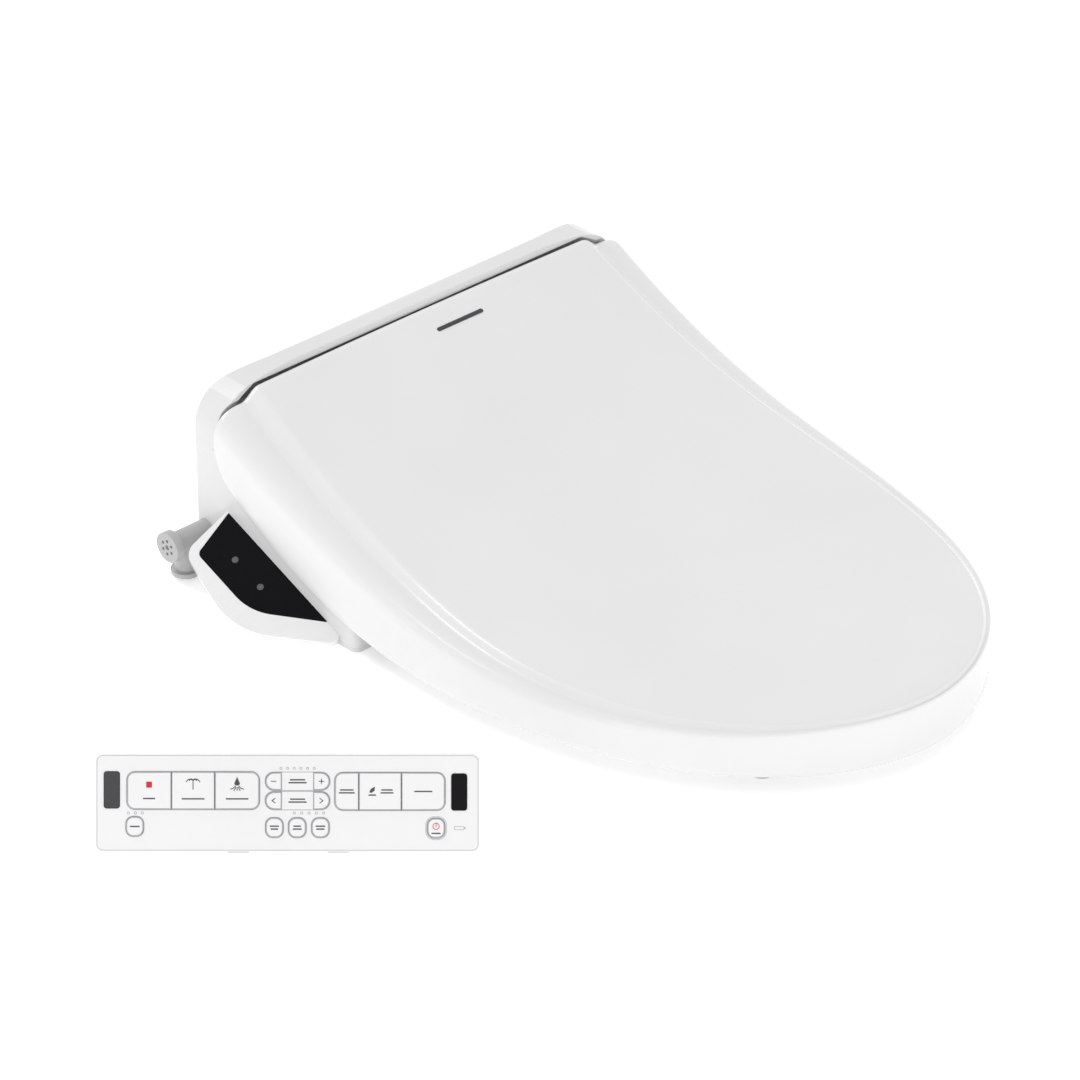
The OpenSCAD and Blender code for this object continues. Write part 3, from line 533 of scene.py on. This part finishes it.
class Print:
    """Collects thin raised shapes in one ink, on one body."""

    def __init__(self, name, ink, body, height):
        self.name, self.ink, self.body, self.height = name, ink, body, height
        self.verts, self.faces = [], []

    def band(self, outer, inner):
        """A raised band between two outlines with the same number of points."""
        n, start = len(outer), len(self.verts)
        low, high = self.height - PRINT_T, self.height + PRINT_T
        for loop, z in ((outer, low), (outer, high), (inner, high), (inner, low)):
            self.verts += [face_point(x, y, z) for x, y in loop]
        for ring in range(4):
            a, b = start + ring * n, start + (ring + 1) % 4 * n
            self.faces += [(a + i, a + (i + 1) % n, b + (i + 1) % n, b + i) for i in range(n)]

    def patch(self, loop):
        """A raised filled shape."""
        n, start = len(loop), len(self.verts)
        for z in (self.height - PRINT_T, self.height + PRINT_T):
            self.verts += [face_point(x, y, z) for x, y in loop]
        self.faces.append(tuple(range(start + n, start + 2 * n)))
        self.faces.append(tuple(range(start + n - 1, start - 1, -1)))
        self.faces += [(start + i, start + (i + 1) % n, start + n + (i + 1) % n, start + n + i)
                       for i in range(n)]

    def ring(self, x, y, r, width):
        self.band(circle(x, y, r), circle(x, y, r - width))

    def stroke(self, points, width):
        """A line of constant width with square ends."""
        for (ax, ay), (bx, by) in zip(points, points[1:]):
            length = math.hypot(bx - ax, by - ay)
            ux, uy = (bx - ax) / length * width / 2, (by - ay) / length * width / 2
            self.patch([(ax - ux + uy, ay - uy - ux), (bx + ux + uy, by + uy - ux),
                        (bx + ux - uy, by + uy + ux), (ax - ux - uy, ay - uy + ux)])

    def bars(self, x, y, *widths):
        """Plain bars in place of lines of words, from the top one down."""
        for k, width in enumerate(widths):
            middle = y - LINE_PITCH * k
            self.patch(rounded_outline(x - width / 2, x + width / 2,
                                       middle - BAR_H / 2, middle + BAR_H / 2, 0.3, 3))

    def build(self):
        make_object(self.name, self.verts, self.faces, self.ink, self.body, smooth_angle=30)


def circle(x, y, r, steps=24):
    return [(x + r * math.cos(2 * math.pi * k / steps), y + r * math.sin(2 * math.pi * k / steps))
            for k in range(steps)]


def rounded_outline(x0, x1, y0, y1, r, steps=8):
    loop = []
    corners = ((x1 - r, y1 - r, 0), (x0 + r, y1 - r, 90), (x0 + r, y0 + r, 180), (x1 - r, y0 + r, 270))
    for cx, cy, start in corners:
        for k in range(steps + 1):
            a = math.radians(start + 90 * k / steps)
            loop.append((cx + r * math.cos(a), cy + r * math.sin(a)))
    return loop


KEY_NODES = [name for name in frame["nodes"] if name.startswith("key_")]


def key_box(*nodes):
    """Left, right, lower and upper edge of some keys, in mm on the remote's face."""
    pts = np.concatenate([np.array(outline_of(n)[0]) for n in nodes])
    return pts[:, 0].min(), pts[:, 0].max(), pts[:, 1].min(), pts[:, 1].max()


def spray_up(x, y):
    """Three jets that rise and fall outward, like a small fountain."""
    arcs = [[(x, y - 3.6), (x, y + 2.2)]]
    for side in (-1, 1):
        for reach in (2.4, 4.4):
            arcs.append([(x + side * reach * t, y + 2.6 - (t * 2 - 0.9) ** 2 * 1.4 * reach / 4.4 + 0.4)
                         for t in (0.1, 0.35, 0.6, 0.8, 1.0)])
    return arcs


def spray_fan(x, y):
    """A drop over two pairs of splayed jets."""
    jets = [[(x, y - 2.6), (x, y - 4.4)]]
    for side in (-1, 1):
        jets.append([(x + side * 1.2, y - 1.8), (x + side * 2.8, y - 3.2), (x + side * 4.2, y - 3.6)])
        jets.append([(x + side * 0.9, y - 2.6), (x + side * 1.9, y - 4.4)])
    return jets


KEY_GROUPS = [("key_stop", "key_rear_wash", "key_front_wash"),
              ("key_nozzle_clean", "key_power_save", "key_massage"),
              ("key_spray_less", "key_spray_more"), ("key_nozzle_forward", "key_nozzle_back"),
              ("key_dryer",), ("key_night_light",), ("key_seat_heat",), ("key_water_heat",), ("key_power",)]


def build_borders():
    """A grey border line round each key, and one round each group of keys on the face beside them."""
    for node in KEY_NODES:
        outline, height = outline_of(node)
        border = Print("border_" + node, "grey_plastic", node, height)
        border.band(moved_outline(outline, -0.12), moved_outline(outline, -0.62))
        border.build()
    frame_print = Print("group_borders", "grey_plastic", "remote", 0)
    for group in KEY_GROUPS:
        x0, x1, y0, y1 = key_box(*group)
        r = KEY_ROUND if len(group) == 1 else GROUP_ROUND
        line = rounded_outline(x0, x1, y0, y1, min(r, (y1 - y0) / 2))
        frame_print.band(moved_outline(line, 0.75), moved_outline(line, 0.3))
    face = rounded_outline(front_points[:, 0].min() - FACE_MID, front_points[:, 0].max() - FACE_MID, 0,
                           front_points[:, 1].max() - FACE_LOW, 5)
    edge = Print("face_edge", PALE_INK, "remote", 0)
    edge.band(moved_outline(face, -0.75), moved_outline(face, -1.15))
    edge.build()
    x0, x1, y0, y1 = key_box("key_power")
    power = rounded_outline(x0, x1, y0, y1, KEY_ROUND)
    frame_print.band(moved_outline(power, 1.5), moved_outline(power, 1.15))
    frame_print.build()


def build_lamps():
    """Rows of small ring-shaped lamps on the face, and the mark beside the battery bay."""
    rings = Print("indicator_rings", "grey_plastic", "remote", 0)
    x0, x1, _, y1 = key_box("key_spray_less", "key_spray_more")
    middle = (x0 + x1) / 2
    rows = [(middle, y1 + 2.9, 4.36, 6), (middle + 7.5, key_box("key_nozzle_back")[2] - 2.6, 4.8, 5),
            (key_box("key_dryer")[0] + 5.9, key_box("key_dryer")[3] + 2.6, 4.6, 3)]
    for x, y, pitch, count in rows:
        for k in range(count):
            rings.ring(x + (k - (count - 1) / 2) * pitch, y, 0.95, 0.4)
    battery_x = key_box("key_power")[1] + 9.6
    battery_y = key_box("key_power")[2] + 6.3
    cell = rounded_outline(battery_x - 3.3, battery_x + 3.3, battery_y - 1.2, battery_y + 1.2, 0.4)
    rings.band(cell, moved_outline(cell, -0.35))
    rings.patch(rounded_outline(battery_x + 3.4, battery_x + 4.2, battery_y - 0.6, battery_y + 0.6, 0.2))
    rings.build()


def build_window():
    """The left transmitter window is a paler smoked plate than the right one."""
    window = on_face("ir_windows")
    window = window[window[:, 0] < FACE_MID]
    plate = Print("left_window", "dark_plastic", "remote", float(window[:, 2].max() - FACE_TOP))
    across = window[:, 0] - FACE_MID
    up = window[:, 1] - FACE_LOW
    plate.patch(rounded_outline(across.min() + 0.3, across.max() - 0.3, up.min() + 0.3, up.max() - 0.3, 1.8))
    plate.build()


# Bars in place of words, and signs drawn in strokes round the key's middle.
WORD_BARS = {"key_nozzle_clean": (9, 10.5), "key_massage": (12,), "key_dryer": (6.5,),
             "key_night_light": (6, 5), "key_seat_heat": (5, 6), "key_water_heat": (6.5, 5.5)}
SIGNS = {"key_spray_less": [[(-1.5, 0), (1.5, 0)]],
         "key_spray_more": [[(-1.5, 0), (1.5, 0)], [(0, -1.5), (0, 1.5)]],
         "key_nozzle_forward": [[(1, -1.5), (-1, 0), (1, 1.5)]],
         "key_nozzle_back": [[(-1, -1.5), (1, 0), (-1, 1.5)]]}


def key_middle(node):
    x0, x1, y0, y1 = key_box(node)
    return (x0 + x1) / 2, (y0 + y1) / 2


def key_print(node, ink=INK, prefix="symbol"):
    return Print(prefix + "_" + node, ink, node, outline_of(node)[1])


def build_symbols():
    """Pictograms on the keys, with plain bars where the real keys carry words."""
    x, y = key_middle("key_stop")
    square = key_print("key_stop", RED_INK, "square")
    square.patch(rounded_outline(x - 1.9, x + 1.9, y + 1.9, y + 5.9, 0.3, 3))
    square.build()
    label = key_print("key_stop")
    label.bars(x, y - 5.2, 8)
    label.build()
    for node, jets in (("key_rear_wash", spray_up), ("key_front_wash", spray_fan)):
        x, y = key_middle(node)
        symbol = key_print(node)
        for line in jets(x, y + 4.6):
            symbol.stroke(line, 0.6)
        if node == "key_front_wash":
            drop = [(0, 9.2), (-1.9, 4.6), (-1.2, 3.4), (1.2, 3.4), (1.9, 4.6)]
            symbol.patch([(x + px, y + py) for px, py in drop])
        symbol.bars(x, y - 5.4, 15)
        symbol.build()
    for node, lines in SIGNS.items():
        x, y = key_middle(node)
        symbol = key_print(node)
        for line in lines:
            symbol.stroke([(x + px, y + py) for px, py in line], 0.55)
        symbol.build()
    for node, widths in WORD_BARS.items():
        x, y = key_middle(node)
        symbol = key_print(node)
        symbol.bars(x, y + LINE_PITCH / 2 * (len(widths) - 1), *widths)
        symbol.build()
    x, y = key_middle("key_power_save")
    leaf = key_print("key_power_save")
    blade = [(-7.2, -0.6), (-6.2, 1.6), (-3.4, 3.2), (-3.6, 0.6), (-5.6, -1.0)]
    leaf.patch([(x + px, y + py) for px, py in blade])
    leaf.bars(x - 5.2, y - 2.4, 5)
    leaf.bars(x + 4.5, y + LINE_PITCH / 2, 7.5, 8.5)
    leaf.build()
    x, y = key_middle("key_power")
    power = key_print("key_power", RED_INK, "power_symbol")
    power.ring(x, y + 1.2, 2.3, 0.5)
    power.stroke([(x, y + 1.0), (x, y + 2.6)], 0.5)
    power.build()
    label = key_print("key_power")
    label.bars(x, y - 3.4, 6)
    label.build()
    middle = Print("pill_labels", INK, "remote", 0)
    for pair in (("key_spray_less", "key_spray_more"), ("key_nozzle_forward", "key_nozzle_back")):
        x0, x1, y0, y1 = key_box(*pair)
        middle.bars((x0 + x1) / 2, (y0 + y1) / 2 + LINE_PITCH / 2, 10, 12)
    middle.build()


# ---------------------------------------------------------------- the room


def add_area(name, place, target, size, power):
    """A rectangular soft light, aimed at a target."""
    light = bpy.data.lights.new(name, "AREA")
    light.shape = "RECTANGLE"
    light.size, light.size_y = size
    light.energy = power
    obj = bpy.data.objects.new(name, light)
    obj.location = place
    obj.rotation_euler = (Vector(target) - Vector(place)).to_track_quat("-Z", "Y").to_euler()
    bpy.context.collection.objects.link(obj)


def add_floor():
    mesh = bpy.data.meshes.new("floor")
    half = 4.0
    corners = [(-half, -half, 0), (half, -half, 0), (half, half, 0), (-half, half, 0)]
    mesh.from_pydata(corners, [], [(0, 1, 2, 3)])
    floor = bpy.data.objects.new("floor", mesh)
    bpy.context.collection.objects.link(floor)
    floor.location.z = cad_low[2] - 0.0005
    mat, tree, shader = new_material("floor")
    paper = noise_node(tree, place_node(tree), 3, 2)
    shade = ramp_color(tree, paper, (0.93, 0.93, 0.93), (0.95, 0.95, 0.95))
    tree.links.new(shade, shader.inputs["Base Color"])
    shader.inputs["Roughness"].default_value = 0.9
    shader.inputs["Emission Color"].default_value = (1, 1, 1, 1)
    shader.inputs["Emission Strength"].default_value = 0.40
    floor.data.materials.append(mat)


SKY_LOW = 0.98
SKY_HIGH = 0.71


def add_world():
    """A soft studio dome, brighter near the floor than overhead."""
    world = bpy.data.worlds.new("studio")
    bpy.context.scene.world = world
    world.use_nodes = True
    tree = world.node_tree
    back = tree.nodes["Background"]
    back.inputs["Color"].default_value = (1, 1, 1, 1)
    coords = tree.nodes.new("ShaderNodeTexCoord")
    split = tree.nodes.new("ShaderNodeSeparateXYZ")
    tree.links.new(coords.outputs["Generated"], split.inputs["Vector"])
    fade = tree.nodes.new("ShaderNodeMapRange")
    fade.interpolation_type = "SMOOTHSTEP"
    fade.inputs["From Min"].default_value = 0.25
    fade.inputs["From Max"].default_value = 0.95
    fade.inputs["To Min"].default_value = SKY_LOW
    fade.inputs["To Max"].default_value = SKY_HIGH
    tree.links.new(split.outputs["Z"], fade.inputs["Value"])
    tree.links.new(fade.outputs["Result"], back.inputs["Strength"])


CAMERA_AZIMUTH = math.radians(-42.93)
CAMERA_ELEVATION = math.radians(31.5)
CAMERA_DISTANCE = 4.0
CAMERA_TARGET = Vector((-0.063, -0.134, 0.059))
CAMERA_LENS = 190.7


def add_camera():
    back = Vector((
        math.sin(CAMERA_AZIMUTH) * math.cos(CAMERA_ELEVATION),
        -math.cos(CAMERA_AZIMUTH) * math.cos(CAMERA_ELEVATION),
        math.sin(CAMERA_ELEVATION)))
    data = bpy.data.cameras.new("camera")
    data.lens = CAMERA_LENS
    data.sensor_width = 36
    data.clip_end = 30
    camera = bpy.data.objects.new("camera", data)
    camera.location = CAMERA_TARGET + back * CAMERA_DISTANCE
    camera.rotation_euler = (-back).to_track_quat("-Z", "Y").to_euler()
    bpy.context.collection.objects.link(camera)
    bpy.context.scene.camera = camera


# ---------------------------------------------------------------- everything

BEVELS = {
    "rear_cover": 0.0012, "base_tray": 0.0006, "side_bezel": 0.001, "panel_window": 0.0004,
    "remote_front": 0.0006, "remote_back": 0.0006, "inlet_tee": 0.0006, "strainer_plug": 0.0007,
    "seat_top": 0.0, "lid_shell": 0.0, "seat_heater": 0.0, "control_board": 0.0,
}

add_camera()
for node in frame["nodes"]:
    dress_node(node, BEVELS.get(node, 0.0003))
build_lid()
build_seat()
build_borders()
build_window()
build_lamps()
build_symbols()
add_floor()
add_world()
add_area("front_softbox", (-0.5, -3.2, 0.7), (0, -0.25, 0.04), (2.4, 1.2), 6)
add_area("shoulder_softbox", (-0.66, 1.44, 2.3), (-0.1, -0.1, 0.1), (1.3, 0.55), 24)
add_area("panel_softbox", (-3.0, -0.7, 0.35), (-0.2, 0.0, 0.05), (1.2, 0.7), 2)
bpy.context.scene.view_settings.view_transform = "Standard"
